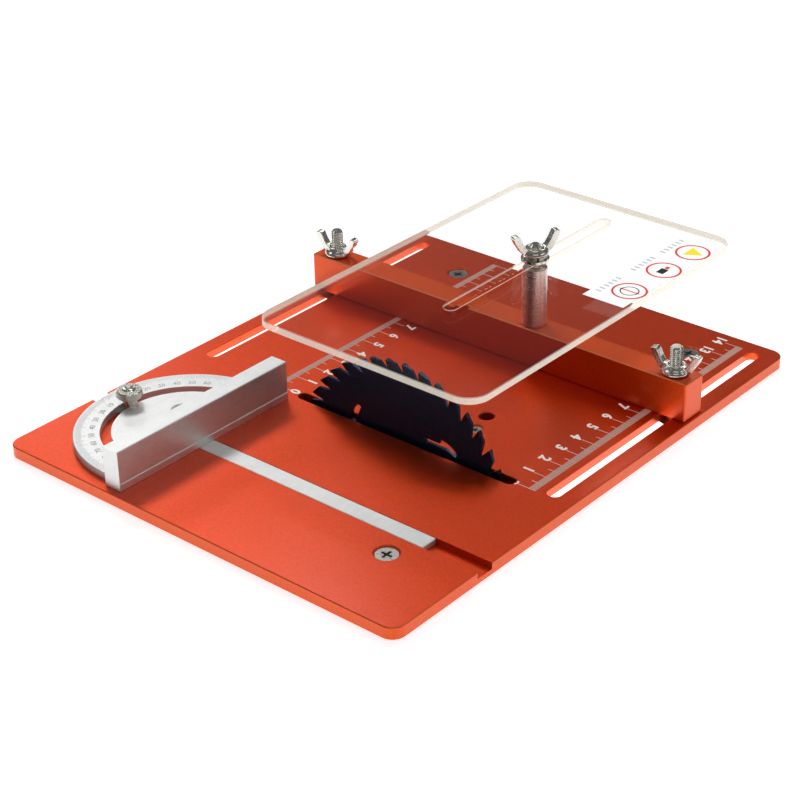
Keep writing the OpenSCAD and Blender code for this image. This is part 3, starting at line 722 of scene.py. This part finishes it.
FLOOR_LEVEL = -0.1 * MM
FLOOR_REACH = 6.0           # metres to each side
FLOOR_GLOW = 0.72           # the floor is a light table
PALE, BRIGHT, PAINTED_SHADE = range(3)
FLOOR_FINISHES = (
    ("pale_floor", (0.89, 0.89, 0.89), (0.92, 0.92, 0.915), FLOOR_GLOW),
    ("bright_recess", (0.5, 0.5, 0.5), (0.52, 0.52, 0.52), 0.95),
    # black, unlit recess finish: painted shade in the pits
    ("dark_recess", (0.01, 0.01, 0.01), (0.02, 0.02, 0.02), 0.0),
)


def bench_recesses():
    """The recesses in the bench top, as (x0, x1, y0, y1, depth, finish), in metres."""
    clear, inset = 8 * MM, 3 * MM
    slide = JOINTS["fence_slide"]["range_m"]
    recesses = []
    for node in ("fence_bolt_left", "fence_bolt_right"):
        low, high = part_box(node)
        x0 = max(low.x - clear / 2, plate_lo.x + inset)
        x1 = min(high.x + clear / 2, plate_hi.x - inset)
        y1 = min(high.y + clear + slide[1], plate_hi.y - inset)
        recesses.append((x0, x1, low.y - clear + slide[0], y1, 9 * MM, BRIGHT))
    boxes = [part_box(node) for node in ("saw_blade", "arbor_housing", "arbor_shaft")]
    low = Vector(min(box[0][i] for box in boxes) for i in range(3))
    high = Vector(max(box[1][i] for box in boxes) for i in range(3))
    # The pit under the blade and arbor is painted black: painted shade.
    recesses.append((low.x - clear / 2, high.x + clear / 2, low.y - clear, high.y + clear, 78 * MM, PAINTED_SHADE))
    # The pits under the corner screws are painted black too: painted shade.
    screw_room = 9 * MM
    low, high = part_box("corner_screws")
    for x in (low.x, high.x):
        for y in (low.y, high.y):
            x0, x1 = sorted((x, x + math.copysign(screw_room, plate_mid.x - x)))
            y0, y1 = sorted((y, y + math.copysign(screw_room, plate_mid.y - y)))
            recesses.append((x0, x1, y0, y1, 20 * MM, PAINTED_SHADE))
    return recesses


def make_bench():
    """A pale bench top with recesses where the insert's screws, bolts and arbor hang below it; the deep recesses
    are painted black as shade.
    """
    recesses = bench_recesses()
    xs = sorted({-FLOOR_REACH, FLOOR_REACH, *(x for recess in recesses for x in recess[:2])})
    ys = sorted({-FLOOR_REACH, FLOOR_REACH, *(y for recess in recesses for y in recess[2:4])})

    def floor_at(x, y):
        inside = [recess[4:] for recess in recesses
                  if recess[0] <= x <= recess[1] and recess[2] <= y <= recess[3]]
        depth, finish = max(inside, default=(0, PALE))
        return FLOOR_LEVEL - depth, finish

    bm = bmesh.new()
    heights = {}
    for i in range(len(xs) - 1):
        for j in range(len(ys) - 1):
            z, finish = floor_at((xs[i] + xs[i + 1]) / 2, (ys[j] + ys[j + 1]) / 2)
            heights[i, j] = z
            corners = ((xs[i], ys[j]), (xs[i + 1], ys[j]), (xs[i + 1], ys[j + 1]), (xs[i], ys[j + 1]))
            bm.faces.new([bm.verts.new((x, y, z)) for x, y in corners]).material_index = finish
    for (i, j), z in heights.items():
        for other, a, b in (((i + 1, j), (xs[i + 1], ys[j]), (xs[i + 1], ys[j + 1])),
                            ((i, j + 1), (xs[i], ys[j + 1]), (xs[i + 1], ys[j + 1]))):
            if other in heights and abs(heights[other] - z) > 1e-6:
                beyond = heights[other]
                wall = bm.faces.new([bm.verts.new((*p, h)) for p, h in
                                     ((a, z), (b, z), (b, beyond), (a, beyond))])
                # Deep walls are painted black as shade; shallow ones take the bright finish.
                wall.material_index = PAINTED_SHADE if min(z, beyond) < FLOOR_LEVEL - 15 * MM else BRIGHT
    mesh = bpy.data.meshes.new("floor")
    bm.to_mesh(mesh)
    bm.free()
    floor = bpy.data.objects.new("floor", mesh)
    bpy.context.scene.collection.objects.link(floor)
    for name, low, high, glow in FLOOR_FINISHES:
        s = Surface(name, Roughness=0.7, Emission_Color=(1, 1, 1, 1), Emission_Strength=glow)
        s.colour(s.mix(s.noise(0.05, 3), low, high))
        mesh.materials.append(s.mat)


def softbox(name, azimuth, elevation, size, watts, distance=1.6):
    """A rectangular light that faces the table; azimuth is counted from +X towards +Y, in degrees."""
    turn, rise = math.radians(azimuth), math.radians(elevation)
    away = Vector((math.cos(turn) * math.cos(rise), math.sin(turn) * math.cos(rise), math.sin(rise)))
    data = bpy.data.lights.new(name, "AREA")
    data.shape = "RECTANGLE"
    data.size, data.size_y = size
    data.energy = watts
    light = bpy.data.objects.new(name, data)
    bpy.context.scene.collection.objects.link(light)
    light.location = away * distance
    light.rotation_mode = "QUATERNION"
    light.rotation_quaternion = away.to_track_quat("Z", "Y")


def light_scene():
    world = bpy.data.worlds.new("world")
    bpy.context.scene.world = world
    world.use_nodes = True
    sky = world.node_tree.nodes["Background"]
    sky.inputs["Color"].default_value = (1, 1, 1, 1)
    sky.inputs["Strength"].default_value = 0.10
    softbox("back_left", 151, 45, (0.75, 0.35), 4.0)
    softbox("back_left_low", 149, 22, (0.30, 0.08), 0.7)
    softbox("left", 206, 43, (0.75, 0.35), 1.1)
    softbox("back", 91, 45, (0.75, 0.35), 2.7)
    softbox("front", 311, 45, (1.0, 0.5), 1.1)
    softbox("right", 21, 35, (1.0, 0.5), 1.6)
    softbox("overhead", 131, 88, (0.9, 0.9), 1.6)
    bpy.context.scene.view_settings.view_transform = "Standard"


make_bench()
light_scene()
